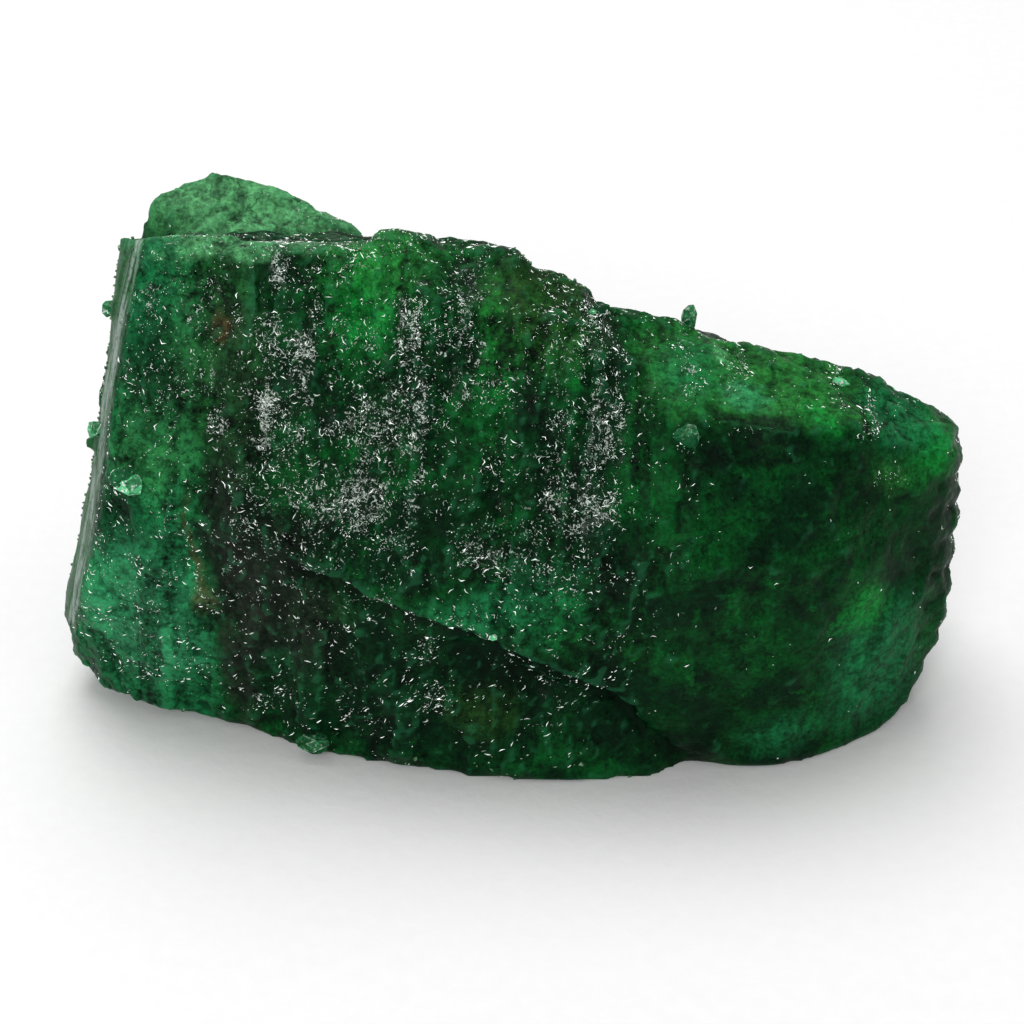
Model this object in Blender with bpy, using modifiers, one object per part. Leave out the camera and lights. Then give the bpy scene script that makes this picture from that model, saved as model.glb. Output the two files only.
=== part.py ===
"""Rough emerald crystal, one natural piece, lying on a flat parting face.

The stone is a stubby beryl prism, broken at both ends and along its foot. It is made from a few convex
chunks that grew into one another. They are joined, scooped by a few conchoidal fractures, melted into
one skin, and given the relief of rough beryl: upright growth columns on the prism sides, flat fracture
facets everywhere else, and fine grain. Small chips of the same crystal cling to it and are fused on last.

+X runs along the stone's length, -Y is its broad prism face, +Z is up. The origin is under the middle
of the stone, on the face that it rests on. Lengths are in millimetres until to_metres().
"""

from math import cos, pi, radians, sin

import bmesh
import bpy
import numpy as np
from mathutils import Matrix, Vector, noise
from mathutils.bvhtree import BVHTree
from mathutils.kdtree import KDTree

MM = 0.001
NODE = "emerald_crystal"

# The finished stone's mesh.
VOXEL = 0.30            # grid of the remesh that melts the chunks together
TRIANGLES = 9000        # what the stone is thinned to before its chips go on
REST_Z = 0.0            # height of the flat face that the stone rests on
GROUND_SIZE = (60.0, 40.0, 8.0)
BASE_FADE = 1.2         # height over which the relief fades out towards the rest face
BASE_LEVEL = 0.08       # what is within this of the rest plane lies on it

# Growth columns, which run up the prism sides.
COLUMN_LEAN = 0.10      # how far a column leans in +X for each millimetre that it rises
COLUMN_STEP = 0.15      # how far one column stands proud of the next
COLUMN_TILT = 0.10      # slope across one column's face
# Where one column meets the next on the broad face, measured along X at the stone's foot.
COLUMN_SEAMS = (-15.4, -13.1, -11.2, -10.3, -8.9, -7.6, -6.5, -5.2, -4.2, -2.3, -1.2, 0.6, 1.9, 3.7, 5.2)
COLUMNS_FADE = (4.0, 8.0)   # the span of X over which they fade out towards the rounder east half
COLUMNS_RISE = (5.0, 10.0)  # the span of Z over which they come up, from the broken foot to the broad face
FOOT_COLUMNS = 0.4          # how much of them is left on the foot

# Fracture facets, (size, step, tilt) of each generation, coarse first.
FACETS = ((4.6, 0.10, 0.07), (1.9, 0.07, 0.09))
FACET_HEIGHT = 1.8      # how many times taller than it is wide a facet is, for the crystal grew upwards
FACET_BLEND = 0.05      # width of the ramp between two facets, as a share of their size
GRAIN_SIZE = 1.1
GRAIN_HEIGHT = 0.05
SEED = 11

# The narrow bevelled prism face at the west edge grew smooth: its outward direction, and how calm it is.
BEVEL_NORMAL = (-0.86, -0.50, 0.12)
BEVEL_EAST_END = -13.0
BEVEL_CALM = 0.85

# Corners of each convex chunk, (x, y, z).
CHUNKS = {
    # The west half: tall prism with the broad columnar face, a narrow bevelled face at its left edge, and
    # a lip along its lower front edge that overhangs the foot.
    "west_prism": (
        # top edge of the broad face, left to right
        (-14.5, -0.9, 20.4), (-13.2, -2.1, 21.0), (-9.5, -2.5, 20.8), (-6.2, -2.2, 20.7), (-3.0, -0.8, 20.3),
        (-0.7, -0.8, 19.8), (1.4, -0.8, 19.1), (2.7, -0.8, 18.1), (4.8, -4.6, 16.6),
        # bevelled face, inner edge then outer edge
        (-14.0, -3.3, 17.7), (-15.0, -4.2, 13.5), (-15.9, -4.5, 9.4),
        (-15.0, -1.4, 17.2), (-15.8, -2.1, 12.8), (-16.5, -2.2, 10.0),
        # lip over the foot
        (-11.4, -6.0, 10.9), (-6.7, -7.4, 10.0), (-4.1, -7.9, 8.4), (-1.1, -8.1, 6.7), (0.8, -8.2, 6.0),
        (4.8, -8.4, 10.9), (4.0, -8.0, 4.2),
        # top and back
        (-14.8, 3.2, 17.8), (-9.5, 4.5, 17.4), (-2.0, 4.0, 17.4), (3.0, 4.0, 15.2),
        (-15.6, 2.0, 12.0), (-12.6, 8.4, 13.0), (2.8, 8.6, 11.6),
        (-17.0, 1.8, 3.2), (-12.8, 9.1, -0.7), (3.2, 9.6, -0.7),
    ),
    # The east half: lower and rounder, with a bright bevel sloping along its top.
    "east_prism": (
        # skyline
        (1.2, -0.9, 18.1), (4.8, -0.8, 17.0), (7.2, -0.8, 16.2), (9.8, -0.8, 15.6), (11.5, -0.8, 15.1),
        (13.9, -0.8, 14.3), (16.4, -1.2, 13.1), (17.5, -1.8, 12.4),
        # lower edge of the bevel
        (4.8, -5.4, 16.0), (7.0, -5.5, 16.0), (9.9, -5.8, 15.1), (12.7, -5.2, 14.4), (16.3, -3.9, 12.8),
        # swell of the face
        (4.8, -8.4, 10.9), (7.2, -8.3, 10.6), (10.8, -7.7, 10.0), (14.1, -6.3, 9.0),
        (4.2, -7.9, 4.2), (7.4, -8.0, 4.4), (12.1, -7.1, 3.8),
        # right end and the rounded lower corner
        (17.5, -2.6, 12.0), (17.6, -3.0, 8.1), (17.7, -3.3, 5.9), (16.9, -3.9, 2.8), (15.8, -4.7, 0.8),
        (14.4, -5.4, -0.5), (12.7, -6.5, -0.7), (10.4, -7.3, -0.7), (7.4, -6.9, -0.3),
        # back
        (5.0, 5.4, 13.0), (10.0, 4.8, 12.0), (15.2, 3.2, 10.8), (17.1, 1.5, 10.6),
        (5.5, 8.7, 8.2), (12.6, 6.9, 7.0), (16.9, 3.0, 6.5),
        (5.5, 8.9, -0.7), (12.4, 7.1, -0.7), (16.0, 3.4, 1.6), (16.6, -1.0, 1.2),
    ),
    # The foot, set back under the lip, more so towards its east end.
    "foot": (
        (-11.2, -4.7, 0.2), (-7.3, -6.5, -0.6), (-3.6, -7.4, -0.7), (-0.4, -8.1, -0.7), (2.8, -8.4, -0.7),
        (5.6, -8.0, -0.7), (7.2, -7.1, -0.7), (8.2, -6.0, -0.7),
        (-11.4, -5.2, 9.8), (-6.7, -6.6, 9.0), (-1.1, -7.1, 6.0), (3.4, -7.0, 4.0), (6.6, -6.6, 1.6),
        (-8.6, -6.4, 4.6), (-5.0, -7.1, 4.0), (-1.6, -7.8, 2.6), (2.2, -8.1, 1.5), (5.6, -7.7, 0.8),
        (-12.2, 7.6, -0.7), (-4.0, 9.0, -0.7), (6.4, 8.2, -0.7), (-4.0, 8.9, 6.0),
    ),
    # The lower left corner, lifted a little clear of the ground.
    "left_root": (
        (-11.2, -5.9, 10.8), (-11.0, -4.9, 0.1), (-14.8, -4.0, 0.6), (-16.5, -3.0, 0.9), (-16.9, -3.2, 2.3),
        (-17.0, -3.9, 5.6), (-15.9, -4.5, 9.4), (-13.4, -5.6, 8.6), (-13.6, -5.1, 4.4),
        (-16.5, -2.2, 10.1), (-17.5, -2.1, 6.6), (-18.4, -1.8, 3.6), (-18.1, -1.6, 1.6), (-16.8, -1.2, 0.6),
        (-16.1, 1.6, 9.0), (-17.4, 1.4, 3.2), (-16.2, 2.6, 0.6), (-12.6, 8.8, -0.7),
    ),
    # The broken lump that rises behind the flat top of the west half.
    "back_lump": (
        (-15.0, 5.4, 18.0), (-14.3, 6.0, 18.6), (-13.0, 6.5, 18.9), (-11.7, 7.0, 19.3), (-10.0, 7.0, 18.2),
        (-7.7, 6.5, 17.5), (-5.8, 5.4, 17.1), (-11.5, 3.6, 17.2), (-15.4, 4.0, 13.0), (-4.6, 4.6, 13.0),
        (-15.2, 4.6, 6.0), (-12.4, 9.6, 7.0), (-5.5, 9.9, 8.0), (-11.4, 9.1, 15.4), (-6.6, 8.8, 14.6),
        (-12.4, 9.7, -0.7), (-5.0, 10.1, -0.7),
    ),
    # A narrower prism grown along the back, which steps the rear face.
    "rear_rib": (
        (0.4, 7.0, 13.4), (5.0, 6.6, 12.4), (8.6, 7.4, 10.2), (9.2, 8.9, 6.0), (8.8, 9.2, -0.7),
        (2.4, 10.9, -0.7), (-0.8, 10.6, 5.0), (-0.9, 9.8, -0.7), (0.2, 9.8, 10.5), (5.6, 9.8, 8.5),
        (4.0, 5.0, 2.0),
    ),
}

# Conchoidal scoops broken out of the skin: (centre, radius) of the ball that each fits.
SCOOPS = {
    "rear_top_scoop": ((-1.2, 16.0, 19.0), 9.6),
    "rear_east_scoop": ((14.6, 13.2, 9.5), 7.2),
    "east_end_scoop": ((24.4, 2.0, 9.4), 7.2),
}
SCOOP_SEGMENTS = 40

# Chips of the crystal that cling to it: (name, place, (width, depth, height), lean in degrees). Each sits
# on the surface nearest to its place, sunk by CHIP_SINK of its smallest side.
CHIPS = (
    ("skyline_spur", (6.8, -0.9, 16.6), (0.56, 0.5, 1.3), 4.0),
    ("edge_chip", (-14.4, -4.6, 12.3), (1.15, 0.8, 1.2), 25.0),
    ("edge_crumb", (-16.0, -2.4, 12.3), (0.7, 0.6, 0.7), -20.0),
    ("skyline_flake", (3.0, -2.0, 17.6), (1.2, 0.7, 0.5), -28.0),
    ("shoulder_chip", (6.5, -6.3, 15.0), (1.0, 0.8, 0.8), 15.0),
    ("lip_flake", (-0.9, -8.3, 7.6), (1.5, 0.6, 1.4), 8.0),
    ("foot_chip", (-7.8, -6.6, 0.7), (1.5, 1.0, 0.8), -12.0),
    ("west_crumb", (-14.3, -1.0, 20.2), (0.35, 0.4, 0.3), 30.0),
    ("bevel_crumb", (-15.1, -1.7, 17.8), (0.4, 0.4, 0.7), 10.0),
)
CHIP_CORNERS = 11
CHIP_SINK = 0.15


def clear_scene():
    for thing in list(bpy.data.objects):
        bpy.data.objects.remove(thing)


def new_collection(name):
    made = bpy.data.collections.new(name)
    bpy.context.scene.collection.children.link(made)
    return made


def mesh_object(name, shape, collection):
    """A named object from a bmesh, which it uses up."""
    mesh = bpy.data.meshes.new(name)
    shape.to_mesh(mesh)
    shape.free()
    made = bpy.data.objects.new(name, mesh)
    collection.objects.link(made)
    return made


def hull_object(name, corners, collection):
    """The convex body that just holds these corners."""
    shape = bmesh.new()
    for corner in corners:
        shape.verts.new(corner)
    made = bmesh.ops.convex_hull(shape, input=shape.verts)
    spare = {v for v in made["geom_interior"] + made["geom_unused"] if isinstance(v, bmesh.types.BMVert)}
    bmesh.ops.delete(shape, geom=list(spare), context="VERTS")
    bmesh.ops.recalc_face_normals(shape, faces=shape.faces)
    return mesh_object(name, shape, collection)


def ball_object(name, centre, radius, collection):
    shape = bmesh.new()
    bmesh.ops.create_uvsphere(shape, u_segments=SCOOP_SEGMENTS, v_segments=SCOOP_SEGMENTS // 2, radius=radius)
    bmesh.ops.translate(shape, verts=shape.verts, vec=centre)
    return mesh_object(name, shape, collection)


def apply_modifiers(thing):
    """Bakes an object's modifiers into its mesh."""
    graph = bpy.context.evaluated_depsgraph_get()
    mesh = bpy.data.meshes.new_from_object(thing.evaluated_get(graph))
    thing.modifiers.clear()
    thing.data = mesh


def combine(body, others, operation):
    """Boolean union or difference of the body with the others, one at a time, which uses the others up."""
    for other in others:
        step = body.modifiers.new(other.name, "BOOLEAN")
        step.operation = operation
        step.solver = "EXACT"
        step.object = other
        apply_modifiers(body)
        bpy.data.objects.remove(other)


def melt_together(body):
    """A voxel remesh, which gives the relief an even mesh to work on."""
    remesh = body.modifiers.new("melt", "REMESH")
    remesh.mode = "VOXEL"
    remesh.voxel_size = VOXEL
    apply_modifiers(body)


def smoothstep(low, high, x):
    t = np.clip((x - low) / (high - low), 0.0, 1.0)
    return t * t * (3.0 - 2.0 * t)


def points_and_normals(mesh):
    places = np.empty(len(mesh.vertices) * 3)
    mesh.vertices.foreach_get("co", places)
    normals = np.empty(len(mesh.vertices) * 3)
    mesh.vertices.foreach_get("normal", normals)
    return places.reshape(-1, 3), normals.reshape(-1, 3)


def column_relief(places, normals, random):
    """Height of the growth columns: flat strips that run up the sides, each at its own depth and slope."""
    across = places[:, 0] - COLUMN_LEAN * places[:, 2]
    seams = np.array(COLUMN_SEAMS)
    strip = np.searchsorted(seams, across)
    depth = random.uniform(-COLUMN_STEP, COLUMN_STEP, len(seams) + 1)
    tilt = random.uniform(-COLUMN_TILT, COLUMN_TILT, len(seams) + 1)
    edges = np.concatenate([[seams[0] - 2.0], seams, [seams[-1] + 2.0]])
    middle = (edges[:-1] + edges[1:]) / 2
    height = depth[strip] + tilt[strip] * np.clip(across - middle[strip], -1.5, 1.5)
    upright = smoothstep(0.45, 0.8, np.abs(normals[:, 1]))
    rise = FOOT_COLUMNS + (1.0 - FOOT_COLUMNS) * smoothstep(*COLUMNS_RISE, places[:, 2])
    return height * upright * rise * (1.0 - smoothstep(*COLUMNS_FADE, places[:, 0]))


def facet_relief(places, size, step, tilt, random):
    """Height of one generation of fracture facets: cells of space, each a plane with its own tilt."""
    places = places / (1.0, 1.0, FACET_HEIGHT)
    low, high = places.min(axis=0) - size, places.max(axis=0) + size
    count = int(np.prod(high - low) / size**3)
    centres = random.uniform(low, high, (count, 3))
    tree = KDTree(count)
    for index, centre in enumerate(centres):
        tree.insert(centre, index)
    tree.balance()
    near = [tree.find_n(place, 3) for place in places]
    cell = np.array([[found[1] for found in row] for row in near])
    away = np.array([[found[2] for found in row] for row in near])
    share = np.exp(-(away - away[:, :1]) / (FACET_BLEND * size))
    share /= share.sum(axis=1, keepdims=True)
    depth = random.uniform(-step, step, count)
    slope = random.uniform(-tilt, tilt, (count, 3))
    plane = depth[cell] + ((places[:, None, :] - centres[cell]) * slope[cell]).sum(axis=2)
    return (plane * share).sum(axis=1)


def grain_relief(places):
    return np.array(
        [GRAIN_HEIGHT * noise.fractal(Vector(place / GRAIN_SIZE), 0.9, 2.1, 3) for place in places]
    )


def calm_on_bevel(places, normals):
    """How much of the relief is kept: all of it, but little on the smooth bevelled face."""
    facing = normals @ np.array(Vector(BEVEL_NORMAL).normalized())
    on_bevel = smoothstep(0.86, 0.95, facing) * (places[:, 0] < BEVEL_EAST_END) * (places[:, 1] < -1.0)
    return 1.0 - BEVEL_CALM * on_bevel


def roughen(body):
    """Moves each vertex along its normal by the sum of the reliefs."""
    random = np.random.default_rng(SEED)
    places, normals = points_and_normals(body.data)
    height = column_relief(places, normals, random) + grain_relief(places)
    for size, step, tilt in FACETS:
        height += facet_relief(places, size, step, tilt, random)
    height *= calm_on_bevel(places, normals)
    height *= smoothstep(REST_Z, REST_Z + BASE_FADE, places[:, 2])
    moved = places + normals * height[:, None]
    body.data.vertices.foreach_set("co", moved.ravel())
    body.data.update()


def thin_out(body):
    """Fewer triangles where the stone is flat."""
    thin = body.modifiers.new("thin", "DECIMATE")
    thin.ratio = min(1.0, TRIANGLES / (2.0 * len(body.data.polygons)))
    apply_modifiers(body)


def level_rest_face(body):
    """Brings the underside, which the melting and thinning leave a hair uneven, onto the rest plane."""
    for vertex in body.data.vertices:
        if vertex.co.z < REST_Z + BASE_LEVEL:
            vertex.co.z = REST_Z


def ground_block(collection):
    """What lies under the rest plane: cutting it off leaves one flat face."""
    shape = bmesh.new()
    bmesh.ops.create_cube(shape, size=1.0)
    bmesh.ops.scale(shape, verts=shape.verts, vec=GROUND_SIZE)
    bmesh.ops.translate(shape, verts=shape.verts, vec=(0, 0, REST_Z - GROUND_SIZE[2] / 2))
    return mesh_object("ground_block", shape, collection)


def surface_of(body):
    shape = bmesh.new()
    shape.from_mesh(body.data)
    found = BVHTree.FromBMesh(shape)
    shape.free()
    return found


def chip_object(index, chip, surface, collection):
    """A small broken chip: the hull of corners spread over an ellipsoid, seated on the stone."""
    name, place, size, lean = chip
    foot, normal = surface.find_nearest(Vector(place))[:2]
    centre = foot + normal * min(size) * (0.5 - CHIP_SINK)
    random = np.random.default_rng(SEED + 1 + index)
    turn = Matrix.Rotation(radians(lean), 3, "Y")
    corners = []
    for k in range(CHIP_CORNERS):
        height = 1.0 - 2.0 * (k + 0.5) / CHIP_CORNERS
        ring = (1.0 - height * height) ** 0.5
        around = k * pi * (3.0 - 5.0**0.5) + random.uniform(-0.4, 0.4)
        spread = Vector((ring * cos(around) * size[0], ring * sin(around) * size[1], height * size[2]))
        corners.append(centre + turn @ (spread * 0.5 * random.uniform(0.85, 1.1)))
    return hull_object(name, corners, collection)


def to_metres(body):
    body.data.transform(Matrix.Scale(MM, 4))
    body.data.update()


def emerald_material():
    made = bpy.data.materials.new("emerald")
    made.use_nodes = True
    surface = made.node_tree.nodes["Principled BSDF"]
    surface.inputs["Base Color"].default_value = (0.012, 0.10, 0.045, 1.0)
    surface.inputs["Roughness"].default_value = 0.28
    surface.inputs["Metallic"].default_value = 0.0
    surface.inputs["IOR"].default_value = 1.58
    return made


def build():
    clear_scene()
    stone = new_collection("raw_emerald")
    chunks = [hull_object(name, corners, stone) for name, corners in CHUNKS.items()]
    body = chunks[0]
    combine(body, chunks[1:], "UNION")
    scoops = [ball_object(name, centre, radius, stone) for name, (centre, radius) in SCOOPS.items()]
    combine(body, scoops + [ground_block(stone)], "DIFFERENCE")
    melt_together(body)
    roughen(body)
    thin_out(body)
    level_rest_face(body)
    surface = surface_of(body)
    chips = [chip_object(index, chip, surface, stone) for index, chip in enumerate(CHIPS)]
    combine(body, chips, "UNION")
    to_metres(body)
    body.name = NODE
    body.data.name = NODE
    body.data.materials.clear()
    body.data.materials.append(emerald_material())


build()
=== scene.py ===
"""Looks of the rough emerald crystal: its skin, the frost, chips and crumbs that cling to it, and the studio.

The stone's form comes from the frame. Here it gets the relief that is too fine for the frame, and the
finish of cloudy beryl, full of dark inclusions, with a broken and glinting surface. Lengths are in
millimetres unless a name says otherwise, and a mesh goes to metres last of all.
"""

from math import cos, pi, radians, sin

import bmesh
import bpy
import numpy as np
from mathutils import Matrix, Vector, noise
from mathutils.bvhtree import BVHTree


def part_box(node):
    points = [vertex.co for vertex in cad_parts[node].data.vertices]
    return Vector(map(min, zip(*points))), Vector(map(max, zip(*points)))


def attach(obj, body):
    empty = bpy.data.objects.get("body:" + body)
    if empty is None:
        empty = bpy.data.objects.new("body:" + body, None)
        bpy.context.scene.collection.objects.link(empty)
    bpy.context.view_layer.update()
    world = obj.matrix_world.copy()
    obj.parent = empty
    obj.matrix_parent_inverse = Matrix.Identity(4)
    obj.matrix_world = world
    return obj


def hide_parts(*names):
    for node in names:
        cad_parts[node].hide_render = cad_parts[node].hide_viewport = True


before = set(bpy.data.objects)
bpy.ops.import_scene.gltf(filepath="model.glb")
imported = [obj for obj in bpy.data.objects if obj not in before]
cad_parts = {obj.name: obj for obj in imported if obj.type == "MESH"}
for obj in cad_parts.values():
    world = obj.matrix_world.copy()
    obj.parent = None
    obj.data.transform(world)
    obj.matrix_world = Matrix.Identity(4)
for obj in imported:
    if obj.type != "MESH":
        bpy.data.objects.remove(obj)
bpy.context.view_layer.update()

MM = 0.001
NODE = "emerald_crystal"
SEED = 29


# ---- small helpers ---------------------------------------


def smoothstep(low, high, x):
    """A smooth step from 0 at low to 1 at high, which may be the lower of the two."""
    t = np.clip((x - low) / (high - low), 0.0, 1.0)
    return t * t * (3.0 - 2.0 * t)


def unit(rows):
    return rows / np.linalg.norm(rows, axis=-1, keepdims=True)


def mesh_object(name, mesh):
    made = bpy.data.objects.new(name, mesh)
    bpy.context.scene.collection.objects.link(made)
    return made


def apply_modifiers(thing):
    graph = bpy.context.evaluated_depsgraph_get()
    mesh = bpy.data.meshes.new_from_object(thing.evaluated_get(graph))
    thing.modifiers.clear()
    thing.data = mesh


def read_vertices(mesh, what):
    """Every vertex's place ("co") or direction ("normal"), one row each."""
    values = np.empty(len(mesh.vertices) * 3)
    mesh.vertices.foreach_get(what, values)
    return values.reshape(-1, 3)


def write_vertices(mesh, places):
    mesh.vertices.foreach_set("co", places.ravel())
    mesh.update()


def store_mask(mesh, name, values):
    """Keeps one number per vertex on the mesh, for its material to read."""
    layer = mesh.attributes.new(name, "FLOAT", "POINT")
    layer.data.foreach_set("value", np.asarray(values, np.float32))


def read_mask(mesh, name):
    values = np.empty(len(mesh.vertices), np.float32)
    mesh.attributes[name].data.foreach_get("value", values)
    return values


def inside_frame(places):
    """Holds places, in millimetres, within the frame's box."""
    low, high = (np.array(corner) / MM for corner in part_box(NODE))
    return np.clip(places, low, high)


def cloud(places, size, detail=3):
    """Soft noise of either sign with features about size long."""
    return np.array([noise.fractal(Vector(place / size), 0.8, 2.1, detail) for place in places])


# ---- growth columns --------------------------------------

COLUMN_LEAN = 0.10      # how far a growth column leans in +X for each millimetre that it rises
COLUMN_WIDTHS = (0.30, 1.15)
COLUMN_LENGTHS = (1.6, 6.0)
COLUMN_STAGES = 16      # lengths that a column is cut into at most
COLUMN_STEP = 0.055
COLUMN_TILT = 0.09
COLUMN_WAVER = 0.12     # how far a seam wanders


def across_columns(places):
    """The coordinate that stays the same all the way up a leaning column."""
    return places[:, 0] - COLUMN_LEAN * places[:, 2]


def growth_columns(places, normals, random):
    """Strips that run up the prism sides, cut into lengths: the height of each, and its tone from -1 to 1."""
    across = across_columns(places) + COLUMN_WAVER * cloud(places, 1.4)
    rise = places[:, 2] + 4.0 * COLUMN_WAVER * cloud(places, 0.9)
    seams = np.cumsum(random.uniform(*COLUMN_WIDTHS, 120)) + across.min() - 1.0
    strip = np.searchsorted(seams, across)
    lengths = random.uniform(*COLUMN_LENGTHS, len(seams) + 1)
    start = random.uniform(0.0, COLUMN_LENGTHS[1], len(seams) + 1)
    stage = np.floor((rise + start[strip]) / lengths[strip]).astype(int) % COLUMN_STAGES
    depth = random.uniform(-COLUMN_STEP, COLUMN_STEP, (len(seams) + 1, COLUMN_STAGES))
    tilt = random.uniform(-COLUMN_TILT, COLUMN_TILT, (len(seams) + 1, COLUMN_STAGES))
    low = np.concatenate([[seams[0] - 1.0], seams])
    height = depth[strip, stage] + tilt[strip, stage] * np.clip(across - low[strip] - 0.35, -0.5, 0.5)
    tone = random.uniform(-1.0, 1.0, depth.shape)[strip, stage]
    upright = smoothstep(0.35, 0.75, np.hypot(normals[:, 0], normals[:, 1]))
    return height * upright, tone * upright


# ---- the crystal's skin ----------------------------------

SKIN_GRID = 0.185       # spacing of the skin's vertices
SKIN_SMOOTHING = 2      # passes that take the frame's coarse triangles out of it
BASE_FADE = 1.0         # height over which the relief fades out towards the rest face

FACETS = ((2.3, 0.085, 0.10), (0.95, 0.050, 0.14), (0.48, 0.026, 0.14))
FACET_HEIGHT = 1.5      # how many times taller than it is wide a facet is
FACET_BLEND = 0.06
FACET_WAVER = 0.35      # how far the facets' outlines stray
FACET_WAVER_SIZE = 1.3
FACET_WAVER_SHIFTS = (0.0, 31.0, 57.0)  # where in the noise X, Y and Z are looked up

GRAIN_SIZE = 0.5
GRAIN_HEIGHT = 0.045
EAST_CALM = 0.5         # how much of the facet relief is left on the matt east face

SCALLOP_PITCH = 1.45    # notches down the east edge
SCALLOP_DEPTH = 0.22

# The lip that runs down the front and overhangs the foot, as (x, z), and the groove under it.
LIP_LINE = (
    (-10.0, 10.9), (-8.6, 10.2), (-6.1, 8.9), (-3.1, 8.0), (-2.2, 7.5),
    (-0.4, 6.6), (2.2, 5.5), (3.6, 4.4), (5.6, 2.4),
)
LIP_WAVER = (0.3, 1.1)  # how far it strays from that line, and over what length
LIP_FADE = (2.5, 1.0)   # the length over which it fades out at its west and its east end
LIP_BACK = (-5.5, -4.5) # it fades out over this span of Y
LIP_FOOT = (-0.1, 0.3)  # heights above the line between which the lip swells
LIP_TOP = (1.5, 0.6)    # and between which it dies away
LIP_HEIGHT = 0.12
GROOVE_TOP = (0.30, -0.35)  # heights above the line between which the groove begins
GROOVE_FOOT = (-1.2, -0.2)  # and between which it ends
GROOVE_DEPTH = 0.20
LIP_BARENESS = 0.8      # how much of the frost the lip and the groove lack

# The matt places: the low half of the front, the top beyond it, and the lump behind the stone.
EAST_FRONT = (1.5, 5.0)     # the span of X over which the front turns matt, at z = 0
EAST_FRONT_LEAN = 0.25      # how far that span leans in +X for each millimetre of height
EAST_TOP = (4.5, 6.0)       # the span of X over which the top turns matt
LUMP_SPAN = ((2.0, 3.5), (12.0, 14.0))  # the spans of Y and Z over which the lump does
COLUMNS_CALM = 0.8      # how much of the columns' relief and tone the matt front lacks
BEVEL_CALM = 0.95       # how much of all relief the bevelled face lacks
SHARP_ANGLE = 38        # in degrees; edges bent by more are shaded as sharp

# The smooth, narrow face bevelled off the west edge. Its inner edge, as (height, x), highest first.
BEVEL_EDGE = ((21.0, -13.35), (18.1, -14.15), (14.0, -15.15), (9.6, -16.05), (6.1, -16.95), (3.2, -17.6))
BEVEL_FRONT = -0.9      # it lies in front of this y
BEVEL_FOOT = (2.0, 4.0)

# Where the frost lies on the front: (across the columns, z), (half its width, half its height), thickness.
FROST_PATCHES = (
    ((-6.8, 14.6), (4.00, 5.2), 0.27),
    ((1.0, 14.4), (2.60, 4.2), 0.20),
    ((-13.6, 17.4), (1.90, 2.2), 0.10),
    ((-9.2, 17.7), (0.50, 1.7), 0.75),
    ((-5.6, 18.3), (0.60, 1.1), 0.70),
    ((-3.6, 17.7), (0.90, 2.0), 0.55),
    ((-5.0, 15.3), (0.45, 1.5), 1.00),
    ((-6.3, 14.9), (1.30, 1.6), 0.55),
    ((-7.8, 15.1), (0.40, 0.4), 0.85),
    ((-7.3, 12.3), (1.50, 1.5), 0.95),
    ((-9.5, 14.3), (1.00, 1.7), 0.42),
    ((-10.6, 15.0), (0.40, 1.2), 0.60),
    ((-4.8, 13.1), (0.45, 1.3), 0.60),
    ((-8.1, 10.2), (1.20, 0.8), 0.60),
    ((-5.4, 11.1), (1.30, 1.0), 0.34),
    ((0.3, 15.4), (1.00, 1.6), 0.34),
    ((1.15, 17.5), (0.50, 1.1), 0.50),
    ((1.9, 15.0), (0.80, 2.0), 0.52),
    ((1.1, 12.9), (1.10, 1.3), 0.65),
    ((-0.7, 10.8), (1.60, 1.1), 0.36),
    ((-10.6, 20.0), (0.60, 0.9), 0.40),
    ((-10.6, 18.0), (0.60, 1.5), 0.30),
    ((-7.8, 20.2), (1.00, 0.5), 0.36),
    ((-3.4, 19.1), (1.00, 0.6), 0.30),
    ((-13.4, 19.4), (0.90, 0.3), 0.30),
    ((-15.2, 19.1), (0.22, 0.5), 0.50),
    ((-13.6, 18.4), (0.70, 0.6), 0.30),
    ((-13.1, 16.3), (0.80, 0.9), 0.28),
    ((-14.7, 16.0), (0.80, 0.6), 0.24),
    ((-12.4, 14.7), (0.50, 0.7), 0.34),
    ((-14.1, 7.9), (0.50, 0.4), 0.45),
    ((-14.7, 3.4), (1.80, 1.2), 0.14),
    ((-11.2, 11.2), (0.60, 1.0), 0.18),
    ((-9.5, 10.7), (0.60, 0.5), 0.42),
    ((-3.6, 5.7), (0.60, 0.8), 0.46),
    ((-3.5, 3.7), (0.80, 0.8), 0.36),
    ((-6.5, 3.4), (2.20, 1.6), 0.14),
    ((-9.8, 2.1), (0.50, 0.6), 0.38),
    ((0.8, 4.4), (0.40, 0.7), 0.34),
    ((1.3, 3.0), (0.50, 0.6), 0.30),
    ((6.8, 15.8), (0.50, 0.15), 0.45),
    ((7.1, 15.0), (0.60, 0.2), 0.35),
    ((10.9, 14.9), (0.30, 0.1), 0.60),
    ((11.9, 14.2), (0.50, 0.2), 0.30),
    ((5.2, 16.4), (0.60, 0.4), 0.36),
    ((13.1, 12.4), (0.60, 0.4), 0.26),
)
FROST_STRIPS = 46       # strips of their own frostiness that the growth columns make of it
FROST_SEAMS = (-4.55, 2.8)  # the two columns at which it ends sharply
FROST_STREAKING = 0.5   # how far each strip is all alike
BACK_FROST = 0.10       # thickness of the frost that lies in clouds on the back and ends
BACK_FROST_SIZE = 3.5


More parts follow.
